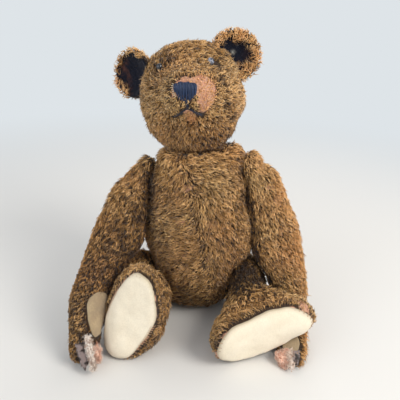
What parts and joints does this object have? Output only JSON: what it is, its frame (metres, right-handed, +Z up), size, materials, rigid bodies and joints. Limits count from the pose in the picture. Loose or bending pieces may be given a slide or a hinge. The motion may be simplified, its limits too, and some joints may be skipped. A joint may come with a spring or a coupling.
{
  "type": "jointed teddy bear",
  "caption": "Threadbare brown mohair teddy bear, disc-jointed and sitting, with worn felt soles, torn felt paw pads, boot-button eyes and a stitched black nose.",
  "frame": {"origin": "middle of the bear's footprint, on the surface it sits on", "axes": "+Z up; the bear faces -Y; +X is the bear's own left"},
  "size_m": [0.2176, 0.1724, 0.2769],
  "materials": {
    "mohair": "short worn brown pile on a pinkish-tan cloth",
    "wood_wool": "loose pale shavings",
    "felt": "matte cream felt",
    "lining": "worn blue-black cloth",
    "boot_button": "worn black lacquer",
    "thread": "satin navy-black thread",
    "card": "raw card",
    "steel": "dull drawn wire"
  },
  "bodies": {
    "torso": {"torso_cover": "mohair", "torso_stuffing": "wood_wool", "neck_disc_torso": "card", "neck_washer_torso": "steel", "neck_pin": "steel", "shoulder_left_disc_torso": "card", "shoulder_left_washer_torso": "steel", "shoulder_left_pin": "steel", "shoulder_right_disc_torso": "card", "shoulder_right_washer_torso": "steel", "shoulder_right_pin": "steel", "hip_left_disc_torso": "card", "hip_left_washer_torso": "steel", "hip_left_pin": "steel", "hip_right_disc_torso": "card", "hip_right_washer_torso": "steel", "hip_right_pin": "steel"},
    "head": {"head_cover": "mohair", "head_stuffing": "wood_wool", "ear_back_left": "mohair", "ear_lining_left": "lining", "ear_back_right": "mohair", "ear_lining_right": "lining", "nose_stitching": "thread", "mouth_stitching": "thread", "eye_left": "boot_button", "eye_right": "boot_button", "neck_disc_limb": "card", "neck_washer_limb": "steel"},
    "arm_left": {"arm_cover_left": "mohair", "arm_stuffing_left": "wood_wool", "paw_pad_left": "felt", "shoulder_left_disc_limb": "card", "shoulder_left_washer_limb": "steel"},
    "arm_right": {"arm_cover_right": "mohair", "arm_stuffing_right": "wood_wool", "paw_pad_right": "felt", "shoulder_right_disc_limb": "card", "shoulder_right_washer_limb": "steel"},
    "leg_left": {"leg_cover_left": "mohair", "leg_stuffing_left": "wood_wool", "foot_pad_left": "felt", "hip_left_disc_limb": "card", "hip_left_washer_limb": "steel"},
    "leg_right": {"leg_cover_right": "mohair", "leg_stuffing_right": "wood_wool", "foot_pad_right": "felt", "hip_right_disc_limb": "card", "hip_right_washer_limb": "steel"}
  },
  "joints": [
    {"name": "neck", "type": "hinge", "parent": "torso", "child": "head", "pos_m": [-0.00195, 0.03434, 0.1653], "axis": [-0.02, 0.0958, 0.9952], "continuous": true},
    {"name": "shoulder_left", "type": "hinge", "parent": "torso", "child": "arm_left", "pos_m": [0.04495, 0.03242, 0.139], "axis": [0.9781, 0.0598, 0.1994], "range_deg": [0, 150]},
    {"name": "shoulder_right", "type": "hinge", "parent": "torso", "child": "arm_right", "pos_m": [-0.04225, 0.03242, 0.139], "axis": [-0.9781, 0.0598, 0.1994], "range_deg": [-90, 100]},
    {"name": "hip_left", "type": "hinge", "parent": "torso", "child": "leg_left", "pos_m": [0.03985, 0.01442, 0.028], "axis": [0.9568, -0.2034, -0.2079], "range_deg": [-20, 0]},
    {"name": "hip_right", "type": "hinge", "parent": "torso", "child": "leg_right", "pos_m": [-0.03715, 0.01442, 0.028], "axis": [-0.9568, -0.2034, -0.2079], "range_deg": [-100, 0]}
  ]
}
